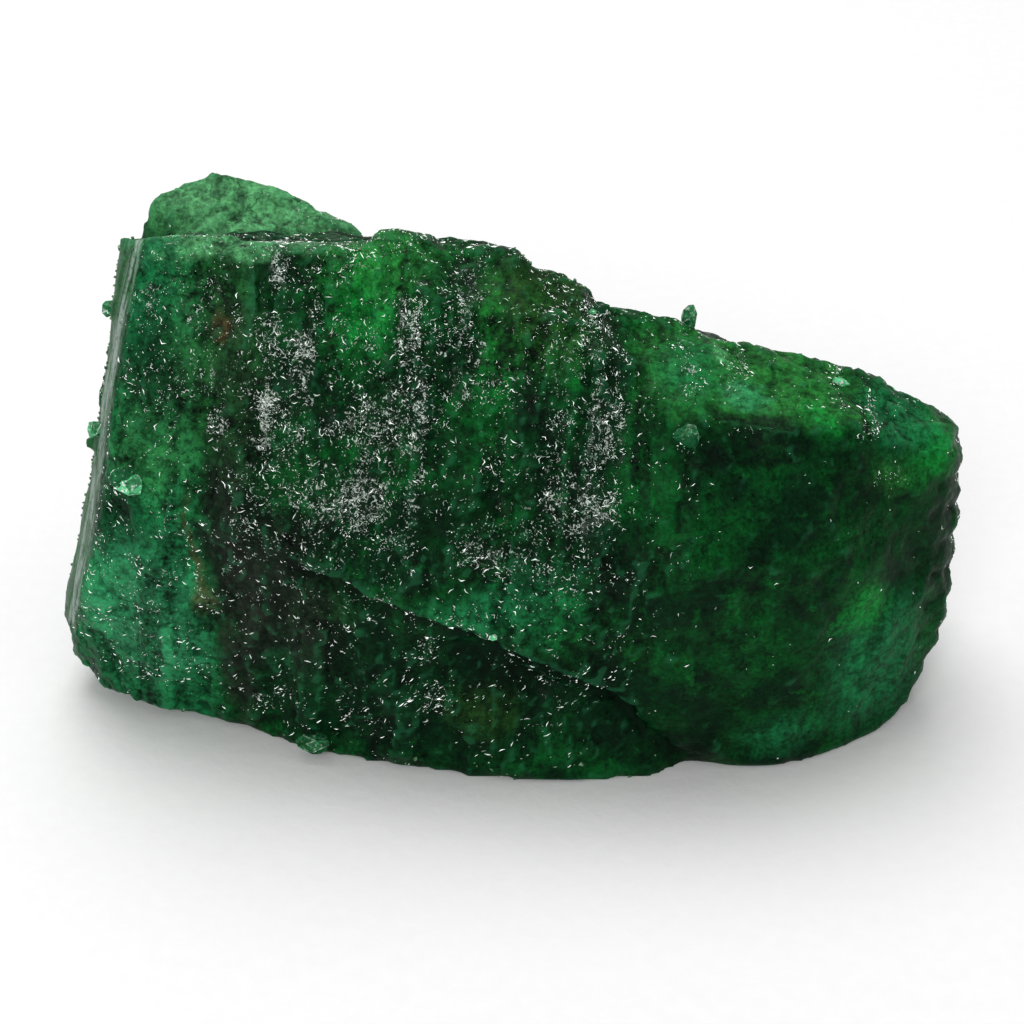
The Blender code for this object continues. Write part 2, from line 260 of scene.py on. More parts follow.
def melted_frame():
    """The frame's solid on an even mesh, its triangles smoothed away."""
    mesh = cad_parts[NODE].data.copy()
    mesh.materials.clear()
    mesh.transform(Matrix.Scale(1 / MM, 4))
    skin = mesh_object("emerald_skin", mesh)
    shape = bmesh.new()
    shape.from_mesh(mesh)
    bmesh.ops.remove_doubles(shape, verts=shape.verts, dist=0.0005)
    shape.to_mesh(mesh)
    shape.free()
    remesh = skin.modifiers.new("melt", "REMESH")
    remesh.mode = "VOXEL"
    remesh.voxel_size = SKIN_GRID
    smooth = skin.modifiers.new("smooth", "SMOOTH")
    smooth.factor = 0.5
    smooth.iterations = SKIN_SMOOTHING
    apply_modifiers(skin)
    return skin


def facet_heights(places, size, step, tilt, random):
    """Fracture facets: cells of space, each a plane of its own depth and tilt."""
    places = places / (1.0, 1.0, FACET_HEIGHT) / size
    places = places - places.min(axis=0) + 1.0
    cell = np.floor(places).astype(int)
    shape = tuple(cell.max(axis=0) + 2)
    centre = random.uniform(0.0, 1.0, shape + (3,))
    depth = random.uniform(-step, step, shape)
    slope = random.uniform(-tilt, tilt, shape + (3,))
    away, height = [], []
    for offset in np.ndindex(3, 3, 3):
        near = cell + np.array(offset) - 1
        key = tuple(near.T)
        gap = places - near - centre[key]
        away.append(np.sqrt((gap**2).sum(axis=1)))
        height.append(depth[key] + size * (gap * slope[key]).sum(axis=1))
    away, height = np.array(away), np.array(height)
    share = np.exp(-(away - away.min(axis=0)) / FACET_BLEND)
    return (share * height).sum(axis=0) / share.sum(axis=0)


def scallop_heights(places, normals):
    """Shell-like notches down the east edge."""
    facing = smoothstep(0.55, 0.9, normals[:, 0]) * smoothstep(15.0, 16.6, places[:, 0])
    wave = np.abs(np.sin(pi * (places[:, 2] + 0.35 * places[:, 1]) / SCALLOP_PITCH))
    return facing * SCALLOP_DEPTH * (wave - 1.0)


def beyond_bevel_edge(places):
    """How far a place is west of the bevelled face's inner edge."""
    heights, edge = zip(*reversed(BEVEL_EDGE))
    return np.interp(places[:, 2], heights, edge) - places[:, 0]


def above_lip_line(places):
    """How far a place is above the lip on the front, and 1 where there is a lip, 0 elsewhere."""
    across, heights = zip(*LIP_LINE)
    above = places[:, 2] - np.interp(places[:, 0], across, heights)
    above += LIP_WAVER[0] * cloud(places, LIP_WAVER[1])
    west_end = smoothstep(across[0], across[0] + LIP_FADE[0], places[:, 0])
    east_end = 1.0 - smoothstep(across[-1] - LIP_FADE[1], across[-1], places[:, 0])
    return above, west_end * east_end * (1.0 - smoothstep(*LIP_BACK, places[:, 1]))


def bevel_mask(places):
    """1 on the smooth bevelled face at the west edge, 0 elsewhere."""
    front = 1.0 - smoothstep(BEVEL_FRONT - 0.3, BEVEL_FRONT + 0.3, places[:, 1])
    return smoothstep(-0.05, 0.12, beyond_bevel_edge(places)) * front * smoothstep(*BEVEL_FOOT, places[:, 2])


def frost_thickness(places, normals, random):
    """How thick the frost is, from 0 to 1: soft patches on the front, streaked by the growth columns."""
    across = across_columns(places)
    seams = np.sort(np.append(FROST_SEAMS, random.uniform(across.min(), across.max(), FROST_STRIPS)))
    strip = np.searchsorted(seams, across)
    middles = np.convolve(np.concatenate([[across.min()], seams, [across.max()]]), (0.5, 0.5), "valid")
    streaked = across + FROST_STREAKING * (middles[strip] - across)
    frostiness = random.uniform(0.35, 1.2, len(middles))[strip]
    ragged = 0.5 * cloud(places, 1.3) + 0.5 * cloud(places, 0.5)
    front = np.zeros(len(places))
    for (middle, height), (half_width, half_height), thickness in FROST_PATCHES:
        away = np.hypot((streaked - middle) / half_width, (places[:, 2] - height) / half_height)
        patch = 1.0 - smoothstep(0.3, 1.7, away + 0.9 * ragged)
        patch *= np.searchsorted(FROST_SEAMS, across) == np.searchsorted(FROST_SEAMS, middle)
        front = np.maximum(front, thickness * patch)
    facing_front = smoothstep(0.0, 0.35, np.maximum(-normals[:, 1], normals[:, 2]) * (places[:, 1] < 0.5))
    back = BACK_FROST * smoothstep(0.05, 0.45, cloud(places, BACK_FROST_SIZE)) * (1.0 - facing_front)
    return np.clip(front * frostiness, 0.0, 1.0) * facing_front + back


def ridges(mesh, places, passes=2):
    """How far each vertex stands above the mean of its neighbours, along its normal."""
    ends = np.empty(len(mesh.edges) * 2, int)
    mesh.edges.foreach_get("vertices", ends)
    one, other = ends.reshape(-1, 2).T
    count = np.bincount(ends, minlength=len(places))[:, None]
    level = places
    for _ in range(passes):
        total = np.zeros_like(level)
        np.add.at(total, one, level[other])
        np.add.at(total, other, level[one])
        level = total / count
    return ((places - level) * read_vertices(mesh, "normal")).sum(axis=1)


def matt_masks(places, normals):
    """1 on the matt east half of the front, on the top beyond it and on the lump behind; 0 elsewhere."""
    from_west = places[:, 0] - EAST_FRONT_LEAN * places[:, 2]
    front = smoothstep(*EAST_FRONT, from_west) * smoothstep(0.3, 0.7, -normals[:, 1])
    top = smoothstep(*EAST_TOP, places[:, 0]) * smoothstep(0.3, 0.6, normals[:, 2])
    lump = smoothstep(*LUMP_SPAN[0], places[:, 1]) * smoothstep(*LUMP_SPAN[1], places[:, 2])
    return front, top, lump


def emerald_skin():
    skin = melted_frame()
    random = np.random.default_rng(SEED)
    places, normals = read_vertices(skin.data, "co"), read_vertices(skin.data, "normal")
    bevel = bevel_mask(places)
    frost = frost_thickness(places, normals, random)
    east, east_top, lump = matt_masks(places, normals)
    above, lip = above_lip_line(places)
    groove = lip * smoothstep(*GROOVE_TOP, above) * smoothstep(*GROOVE_FOOT, above)
    lip = lip * smoothstep(*LIP_FOOT, above) * smoothstep(*LIP_TOP, above)
    frost *= 1.0 - LIP_BARENESS * np.maximum(lip, groove)
    relief, tone = growth_columns(places, normals, random)
    relief *= 1.0 - COLUMNS_CALM * east
    waver = np.stack([cloud(places + shift, FACET_WAVER_SIZE) for shift in FACET_WAVER_SHIFTS], axis=1)
    strayed = places + FACET_WAVER * waver
    for size, step, tilt in FACETS:
        relief += facet_heights(strayed, size, step, tilt, random) * (1.0 - (1.0 - EAST_CALM) * east)
    relief += GRAIN_HEIGHT * cloud(places, GRAIN_SIZE) * (0.8 + 0.8 * frost)
    relief += scallop_heights(places, normals)
    relief += LIP_HEIGHT * lip - GROOVE_DEPTH * groove
    relief *= 1.0 - BEVEL_CALM * bevel
    relief *= smoothstep(0.0, BASE_FADE, places[:, 2])
    moved = inside_frame(places + normals * relief[:, None])
    write_vertices(skin.data, moved)
    store_mask(skin.data, "ridge", ridges(skin.data, moved))
    store_mask(skin.data, "bevel", bevel)
    store_mask(skin.data, "beyond_bevel_edge", beyond_bevel_edge(moved))
    store_mask(skin.data, "frost", frost * (1.0 - bevel))
    store_mask(skin.data, "column", tone * (1.0 - np.maximum(bevel, COLUMNS_CALM * east)))
    # the groove mask, which the material uses for the painted shade in the groove
    store_mask(skin.data, "groove", groove)
    store_mask(skin.data, "matt", np.maximum.reduce([east, bevel, lump, 0.8 * east_top]))
    skin.data.set_sharp_from_angle(angle=radians(SHARP_ANGLE))
    return skin


# ---- what clings to the skin -----------------------------

FLECK_LENGTHS = (0.04, 0.34)
FLECK_SHORTNESS = (3.4, 2.0)    # the higher, the fewer are long: in general, and among the low scratches
FLECK_WIDTH = (0.018, 0.09) # the least, and what each millimetre of its length adds
FLECK_RISE = 0.8            # as a share of its width
FLECK_BEND = 0.45           # as a share of its length
FLECKS_EVERYWHERE = 6.5     # flecks on each square millimetre with no frost
FLECKS_ON_MATT = 0.03       # and on the matt east face, as a share of that
FLECKS_BEHIND = 0.22        # and on the back, as a share of that
BARE_FROM = (-2.0, 9.0)     # the span of Z over which the flecks with no frost reach their full number
BACK_FROM = (-1.5, 2.0)     # the span of Y over which they thin out towards the back
FLECKS_IN_FROST = 125.0     # and with frost at its thickest
SCRATCH_TOP = 7.5           # below this height the flecks lie like scratches, up and to the right
SCRATCH_FADE = 3.0          # and this far below it they all do
SCRATCH_WAY = (0.8, -0.1, 0.6)
SCRATCH_PULL = 2.5          # how firmly they keep to it
FLECK_FACES = ((0, 2, 3), (0, 3, 4), (0, 4, 2), (1, 3, 2), (1, 4, 3), (1, 2, 4))

# Chips of the crystal that cling to it: name, place, (width, depth, height), lean in degrees, brightness.
CHIPS = (
    ("skyline_spur", (6.8, -0.9, 16.9), (0.62, 0.5, 1.3), 4.0, 0.30),
    ("edge_chip", (-14.4, -5.0, 12.3), (1.35, 0.9, 1.35), 25.0, 0.85),
    ("edge_crumb", (-16.0, -2.4, 12.9), (0.8, 0.7, 0.9), -20.0, 0.50),
    ("skyline_flake", (3.0, -2.0, 17.6), (1.1, 0.8, 0.6), -28.0, 0.70),
    ("shoulder_chip", (6.5, -6.2, 15.0), (1.0, 0.7, 0.9), 15.0, 0.25),
    ("bevel_glint", (12.6, -1.9, 14.8), (0.75, 0.4, 0.35), 25.0, 1.20),
    ("lip_glint", (-0.6, -8.2, 7.3), (0.4, 0.3, 0.3), 8.0, 1.00),
    ("foot_chip", (-7.8, -6.7, 0.8), (1.6, 1.0, 0.8), -12.0, 0.22),
    ("bevel_crumb", (-15.1, -1.7, 17.8), (0.5, 0.5, 0.8), 10.0, 0.30),
)
CHIP_RIM = 0.045        # width of the painted glint, a bright line, along some of a chip's edges
CHIP_RIMS = 0.18        # the share of its edges that have it
CHIP_CORNERS = 20
ORDER_WAY = Vector((1.0, 0.618, 0.382))     # the direction along which a chip's parts are put in order
CHIP_DARK = (6, 70, 30)
CHIP_LIGHT = (96, 206, 140)

# Crumbs along the edges: name of the edge, its points, how many, how far they stray, (least, most) size.
CRUMB_EDGES = (
    ("west_top", ((-14.6, -0.9, 20.4), (-14.9, 1.5, 19.0)), 12, 0.35, (0.12, 0.36)),
    ("west_outer", ((-14.6, -0.9, 20.2), (-15.3, -1.2, 17.0), (-16.0, -1.9, 13.0)), 60, 0.22, (0.06, 0.22)),
    ("west_lower", ((-16.0, -1.9, 13.0), (-16.8, -2.0, 9.5), (-17.8, -1.9, 5.5)), 34, 0.20, (0.05, 0.18)),
    ("broad_top", ((-14.0, -1.9, 20.8), (-9.5, -2.3, 20.8), (-3.5, -1.2, 20.4)), 16, 0.5, (0.07, 0.22)),
    (
        "skyline",
        ((-3.5, -1.2, 20.4), (1.4, -0.8, 19.1), (7.2, -0.8, 16.2), (16.4, -1.2, 13.1)),
        26, 0.5, (0.07, 0.24),
    ),
    (
        "foot_line",
        ((-14.8, -4.2, 0.6), (-8.6, -6.4, 0.5), (0.0, -8.0, 0.5), (6.5, -7.5, 0.6)),
        24, 0.4, (0.08, 0.26),
    ),
)
CRUMB_CORNERS = 8


def surface_of(thing):
    shape = bmesh.new()
    shape.from_mesh(thing.data)
    found = BVHTree.FromBMesh(shape)
    shape.free()
    return found


def sample_skin(mesh, density, random):
    """Random places on the mesh, as many on each triangle as its area and density ask, with their normals."""
    mesh.calc_loop_triangles()
    corners = np.empty(len(mesh.loop_triangles) * 3, int)
    mesh.loop_triangles.foreach_get("vertices", corners)
    corners = corners.reshape(-1, 3)
    places, normals = read_vertices(mesh, "co")[corners], read_vertices(mesh, "normal")[corners]
    area = 0.5 * np.linalg.norm(np.cross(places[:, 1] - places[:, 0], places[:, 2] - places[:, 0]), axis=1)
    chosen = np.repeat(np.arange(len(corners)), random.poisson(area * density[corners].mean(axis=1)))
    share = random.dirichlet((1.0, 1.0, 1.0), len(chosen))[:, :, None]
    return (places[chosen] * share).sum(axis=1), unit((normals[chosen] * share).sum(axis=1))


def frost_flecks(skin):
    """Tiny bent splinters that stand a little proud of the skin, thickest where the frost is."""
    random = np.random.default_rng(SEED + 1)
    frost, matt = read_mask(skin.data, "frost"), read_mask(skin.data, "matt")
    skin_places = read_vertices(skin.data, "co")
    bare = FLECKS_EVERYWHERE * (1.0 - (1.0 - FLECKS_ON_MATT) * matt)
    bare *= smoothstep(*BARE_FROM, skin_places[:, 2])
    bare *= 1.0 - (1.0 - FLECKS_BEHIND) * smoothstep(*BACK_FROM, skin_places[:, 1])
    clumps = 2.4 * cloud(skin_places, 1.1) + 2.0 * cloud(skin_places, 0.4)
    density = bare * np.clip(np.exp(1.6 * clumps), 0.05, 5.0)
    density += FLECKS_IN_FROST * frost * np.clip(np.exp(clumps), 0.05, 2.2)
    centres, normals = sample_skin(skin.data, density, random)
    count = len(centres)
    low = smoothstep(SCRATCH_TOP, SCRATCH_TOP - SCRATCH_FADE, centres[:, 2:])
    along = unit(random.normal(size=(count, 3)) + SCRATCH_PULL * low * np.array(SCRATCH_WAY))
    aside = unit(np.cross(normals, along))
    along = np.cross(aside, normals)
    least, most = FLECK_LENGTHS
    shortness = FLECK_SHORTNESS[0] - (FLECK_SHORTNESS[0] - FLECK_SHORTNESS[1]) * low
    length = least * (most / least) ** (random.uniform(0.0, 1.0, (count, 1)) ** shortness)
    width = (FLECK_WIDTH[0] + FLECK_WIDTH[1] * length) * random.uniform(0.7, 1.3, (count, 1))
    rise = width * FLECK_RISE
    middle = centres + aside * length * FLECK_BEND * (1.0 - 0.8 * low) * random.uniform(-1.0, 1.0, (count, 1))
    corners = np.stack([
        centres - along * length * 0.5 + normals * rise * 0.1,
        centres + along * length * 0.5 + normals * rise * 0.1,
        middle + normals * rise,
        middle + aside * width * 0.5 - normals * rise * 0.3,
        middle - aside * width * 0.5 - normals * rise * 0.3,
    ], axis=1)
    faces = np.array(FLECK_FACES) + 5 * np.arange(count)[:, None, None]
    mesh = bpy.data.meshes.new("frost_flecks")
    mesh.from_pydata(inside_frame(corners.reshape(-1, 3)).tolist(), [], faces.reshape(-1, 3).tolist())
    store_mask(mesh, "shine", np.repeat(random.uniform(0.0, 1.0, count), 5))
    return mesh_object("frost_flecks", mesh)


def add_chip(shape, centre, size, lean, corners, random):
    """A small broken chip, the hull of corners spread over an ellipsoid; returns its faces."""
    turn = Matrix.Rotation(radians(lean), 3, "Y")
    made = []
    for k in range(corners):
        height = 1.0 - 2.0 * (k + 0.5) / corners
        ring = (1.0 - height * height) ** 0.5
        around = k * pi * (3.0 - 5.0**0.5) + random.uniform(-0.5, 0.5)
        spread = Vector((ring * cos(around) * size[0], ring * sin(around) * size[1], height * size[2]))
        made.append(shape.verts.new(centre + turn @ (spread * 0.5 * random.uniform(0.7, 1.15))))
    hull = bmesh.ops.convex_hull(shape, input=made)
    spare = {v for v in hull["geom_interior"] + hull["geom_unused"] if isinstance(v, bmesh.types.BMVert)}
    bmesh.ops.delete(shape, geom=list(spare), context="VERTS")
    return [face for face in hull["geom"] if isinstance(face, bmesh.types.BMFace) and face.is_valid]


def mesh_of(name, shape):
    bmesh.ops.recalc_face_normals(shape, faces=shape.faces)
    mesh = bpy.data.meshes.new(name)
    shape.to_mesh(mesh)
    shape.free()
    write_vertices(mesh, inside_frame(read_vertices(mesh, "co")))
    return mesh_object(name, mesh)


def order_by_place(element):
    """A number for an edge or face that depends on where it is alone, to sort by in every run alike."""
    total = sum((vertex.co for vertex in element.verts), Vector((0.0, 0.0, 0.0)))
    return total.dot(ORDER_WAY) / len(element.verts)


def clinging_chips(surface):
    """The larger chips; each face stores its chip's brightness, and 1 where it is a thin edge that glints."""
    random = np.random.default_rng(SEED + 5)
    shape = bmesh.new()
    bright = shape.faces.layers.float.new("bright")
    rim = shape.faces.layers.float.new("rim")
    for _, place, size, lean, brightness in CHIPS:
        foot = surface.find_nearest(Vector(place))[0]
        faces = add_chip(shape, Vector(place).lerp(foot, 0.4), size, lean, CHIP_CORNERS, random)
        edges = sorted({edge for face in faces for edge in face.edges}, key=order_by_place)
        sharp = [edge for edge in edges if random.random() < CHIP_RIMS]
        bevelled = bmesh.ops.bevel(shape, geom=sharp, offset=CHIP_RIM / 2, segments=1, affect="EDGES")
        rims = set(bevelled["faces"])
        # the faces of the chips before this one have their brightness already
        for face in sorted((face for face in shape.faces if face[bright] == 0.0), key=order_by_place):
            face[bright] = brightness * random.uniform(0.3, 1.3)
            face[rim] = random.uniform(0.1, 1.0) if face in rims else 0.0
    shape.faces.sort(key=order_by_place)
    return mesh_of("clinging_chips", shape)


def edge_crumbs(surface):
    random = np.random.default_rng(SEED + 3)
    shape = bmesh.new()
    for _, points, count, stray, sizes in CRUMB_EDGES:
        points = np.array(points)
        for reach in np.sort(random.uniform(0.0, len(points) - 1.0, count)):
            leg = int(min(reach, len(points) - 2))
            place = points[leg] + (points[leg + 1] - points[leg]) * (reach - leg)
            foot, normal = surface.find_nearest(Vector(place + random.normal(0.0, stray, 3)))[:2]
            size = sizes[0] + (sizes[1] - sizes[0]) * random.power(0.6)
            extent = size * random.uniform(0.6, 1.3, 3)
            lean = random.uniform(-90, 90)
            add_chip(shape, foot + normal * size * 0.1, extent, lean, CRUMB_CORNERS, random)
    return mesh_of("edge_crumbs", shape)


# ---- materials -------------------------------------------


def linear(red, green, blue):
    """A colour on the usual 0 to 255 scale, turned into what a shader's socket takes."""
    channels = [c / 255 for c in (red, green, blue)]
    return tuple(c / 12.92 if c <= 0.04045 else ((c + 0.055) / 1.055) ** 2.4 for c in channels) + (1.0,)


class Nodes:
    """A node tree being wired, for a material or a node group."""

    def __init__(self, tree):
        self.tree = tree

    def add(self, kind, settings=None, **inputs):
        node = self.tree.nodes.new("ShaderNode" + kind)
        for key, value in (settings or {}).items():
            setattr(node, key, value)
        self.plug_all(node, **inputs)
        return node

    def plug_all(self, node, **inputs):
        """Gives each named socket its link or its value; an underscore stands for a space."""
        for key, value in inputs.items():
            self.plug(node.inputs[key.replace("_", " ")], value)

    def plug(self, socket, value):
        if isinstance(value, bpy.types.NodeSocket):
            self.tree.links.new(value, socket)
        else:
            socket.default_value = value

    def math(self, operation, first, second=0.5, third=0.5):
        node = self.tree.nodes.new("ShaderNodeMath")
        node.operation = operation
        for socket, value in zip(node.inputs, (first, second, third)):
            self.plug(socket, value)
        return node.outputs[0]

    def vector(self, operation, first, second=(0.0, 0.0, 0.0)):
        node = self.tree.nodes.new("ShaderNodeVectorMath")
        node.operation = operation
        self.plug(node.inputs[0], first)
        self.plug(node.inputs[1], second)
        return node.outputs["Value" if operation in ("LENGTH", "DOT_PRODUCT") else "Vector"]

    def scaled(self, vector, factor):
        return self.add("VectorMath", {"operation": "SCALE"}, Vector=vector, Scale=factor).outputs["Vector"]

    def ramp(self, value, low, high, to_low=0.0, to_high=1.0):
        """A smooth step from to_low at low to to_high at high."""
        node = self.add(
            "MapRange", {"interpolation_type": "SMOOTHSTEP"},
            Value=value, From_Min=low, From_Max=high, To_Min=to_low, To_Max=to_high,
        )
        return node.outputs["Result"]

    def noise(self, place, size, detail=3.0, roughness=0.55):
        """Noise with features about size long, in the unit that place is in."""
        node = self.add("TexNoise", Vector=place, Scale=1.0 / size, Detail=detail, Roughness=roughness)
        return node.outputs["Fac"]

    def sized_noise(self, place, size, times=1.0, detail=3.0, roughness=0.5):
        """Noise whose size is itself a socket; times says how many features fit in that size."""
        scale = self.math("DIVIDE", times, size)
        return self.add("TexNoise", Vector=place, Scale=scale, Detail=detail, Roughness=roughness).outputs

    def mask(self, name):
        return self.add("Attribute", {"attribute_name": name}).outputs["Fac"]

    def mix(self, factor, under, over):
        node = self.tree.nodes.new("ShaderNodeMix")
        node.data_type = "RGBA"
        self.plug(node.inputs[0], factor)
        self.plug(node.inputs[6], under)
        self.plug(node.inputs[7], over)
        return node.outputs[2]

    def group(self, shared, **inputs):
        node = self.tree.nodes.new("ShaderNodeGroup")
        node.node_tree = shared
        self.plug_all(node, **inputs)
        return node.outputs


def shared_group(name, inputs, outputs):
    """An empty node group with named sockets: (name, kind, start value) in, (name, kind) out."""
    tree = bpy.data.node_groups.new(name, "ShaderNodeTree")
    for label, kind, value in inputs:
        socket = tree.interface.new_socket(label, in_out="INPUT", socket_type="NodeSocket" + kind)
        socket.default_value = value
    for label, kind in outputs:
        tree.interface.new_socket(label, in_out="OUTPUT", socket_type="NodeSocket" + kind)
    nodes = Nodes(tree)
    return nodes, tree.nodes.new("NodeGroupInput").outputs, tree.nodes.new("NodeGroupOutput").inputs


def drifted_place_group():
    """Moves a place about by noise, so that what is laid out with it gets natural edges."""
    nodes, given, out = shared_group(
        "Drifted Place",
        (("Place", "Vector", (0, 0, 0)), ("Drift", "Float", 0.6), ("Size", "Float", 1.5)),
        (("Place", "Vector"),),
    )
    wave = nodes.sized_noise(given["Place"], given["Size"], detail=5.0, roughness=0.62)
    centred = nodes.vector("SUBTRACT", wave["Color"], (0.5, 0.5, 0.5))
    nodes.plug(out["Place"], nodes.vector("ADD", given["Place"], nodes.scaled(centred, given["Drift"])))
    return nodes.tree


def soft_patch_group():
    """1 inside an ellipsoid and 0 outside it, with an edge as soft as Edge says."""
    nodes, given, out = shared_group(
        "Soft Patch",
        (
            ("Place", "Vector", (0, 0, 0)),
            ("Centre", "Vector", (0, 0, 0)),
            ("Reach", "Vector", (1, 1, 1)),
            ("Edge", "Float", 0.5),
        ),
        (("Mask", "Float"),),
    )
    away = nodes.vector("DIVIDE", nodes.vector("SUBTRACT", given["Place"], given["Centre"]), given["Reach"])
    radius = nodes.vector("LENGTH", away)
    low = nodes.math("SUBTRACT", 1.0, given["Edge"])
    high = nodes.math("ADD", 1.0, given["Edge"])
    nodes.plug(out["Mask"], nodes.ramp(radius, low, high, 1.0, 0.0))
    return nodes.tree


def streak_group():
    """Growth streaks that run up the stone: fine across X, long in Z."""
    nodes, given, out = shared_group(
        "Growth Streaks",
        (("Place", "Vector", (0, 0, 0)), ("Width", "Float", 0.6), ("Length", "Float", 9.0)),
        (("Shade", "Float"),),
    )
    parts = nodes.add("SeparateXYZ", Vector=given["Place"])
    lean = nodes.math("MULTIPLY", parts.outputs["Z"], COLUMN_LEAN)
    place = nodes.add(
        "CombineXYZ",
        X=nodes.math("DIVIDE", nodes.math("SUBTRACT", parts.outputs["X"], lean), given["Width"]),
        Y=nodes.math("DIVIDE", parts.outputs["Y"], nodes.math("MULTIPLY", given["Width"], 4.0)),
        Z=nodes.math("DIVIDE", parts.outputs["Z"], nodes.math("MULTIPLY", given["Width"], given["Length"])),
    )
    nodes.plug(out["Shade"], nodes.noise(place.outputs["Vector"], 1.0, detail=3.0))
    return nodes.tree


def lace_group():
    """Short bright curves and rings, as tiny broken edges glint; Cover is how much of the place they take."""
    nodes, given, out = shared_group(
        "Glint Lace",
        (("Place", "Vector", (0, 0, 0)), ("Size", "Float", 0.3), ("Cover", "Float", 0.5)),
        (("Mask", "Float"),),
    )
    fold = nodes.sized_noise(given["Place"], given["Size"], detail=2.0, roughness=0.6)
    crest = nodes.math("ABSOLUTE", nodes.math("SUBTRACT", fold["Fac"], 0.5))
    patchy = nodes.sized_noise(given["Place"], given["Size"], times=0.8, roughness=0.7)
    limit = nodes.math("MULTIPLY_ADD", given["Cover"], -0.34, 0.66)
    shown = nodes.ramp(nodes.math("SUBTRACT", patchy["Fac"], limit), 0.0, 0.06)
    nodes.plug(out["Mask"], nodes.math("MULTIPLY", nodes.ramp(crest, 0.015, 0.045, 1.0, 0.0), shown))
    return nodes.tree


def chipped_group():
    """Small broken facets, each of its own shade, from -1 to 1."""
    nodes, given, out = shared_group(
        "Chipped Shade",
        (("Place", "Vector", (0, 0, 0)), ("Size", "Float", 0.4)),
        (("Shade", "Float"),),
    )
    wave = nodes.sized_noise(given["Place"], given["Size"], times=1.5)
    swing = nodes.scaled(nodes.vector("SUBTRACT", wave["Color"], (0.5, 0.5, 0.5)), given["Size"])
    cells = nodes.add("TexVoronoi", Vector=nodes.vector("ADD", given["Place"], swing))
    nodes.plug(cells.inputs["Scale"], nodes.math("DIVIDE", 1.0, given["Size"]))
    pick = nodes.add("SeparateXYZ", Vector=cells.outputs["Color"])
    nodes.plug(out["Shade"], nodes.math("MULTIPLY_ADD", pick.outputs["X"], 2.0, -1.0))
    return nodes.tree


def vein_group():
    """Thin broken lines, as cracks and inclusions leave in a crystal."""
    nodes, given, out = shared_group(
        "Broken Veins",
        (("Place", "Vector", (0, 0, 0)), ("Size", "Float", 1.2), ("Width", "Float", 0.03)),
        (("Mask", "Float"),),
    )
    fold = nodes.sized_noise(given["Place"], given["Size"], detail=2.5, roughness=0.55)
    crest = nodes.math("ABSOLUTE", nodes.math("SUBTRACT", fold["Fac"], 0.5))
    line = nodes.ramp(nodes.math("DIVIDE", crest, given["Width"]), 0.25, 1.0, 1.0, 0.0)
    gap = nodes.sized_noise(given["Place"], given["Size"], times=0.6, detail=1.0)
    nodes.plug(out["Mask"], nodes.math("MULTIPLY", line, nodes.ramp(gap["Fac"], 0.45, 0.6)))
    return nodes.tree


DRIFTED_PLACE = drifted_place_group()
SOFT_PATCH = soft_patch_group()
STREAKS = streak_group()
VEINS = vein_group()
CHIPPED = chipped_group()
LACE = lace_group()

BERYL_IOR = 1.58

# The stone's own colours, with the whites and the grey used for its painted glints and sheen.
DEEP_GREEN = linear(6, 68, 25)
NIGHT_GREEN = linear(4, 34, 15)
BLACK_GREEN = linear(3, 15, 8)
BRIGHT_GREEN = linear(18, 122, 46)
LEAF_GREEN = linear(36, 112, 46)
SEA_GREEN = linear(24, 108, 62)
PALE_SEA_GREEN = linear(48, 134, 88)
MOSS_GREEN = linear(44, 108, 54)
PALE_MOSS = linear(86, 158, 102)
OLIVE_GREEN = linear(36, 72, 26)
SCHIST_BROWN = linear(30, 31, 28)
RUST_BROWN = linear(78, 42, 28)
LACE_GLINT_WHITE = linear(226, 240, 228)
GLINT_WHITE = linear(250, 255, 250)
SHEEN_GREY = linear(150, 166, 158)

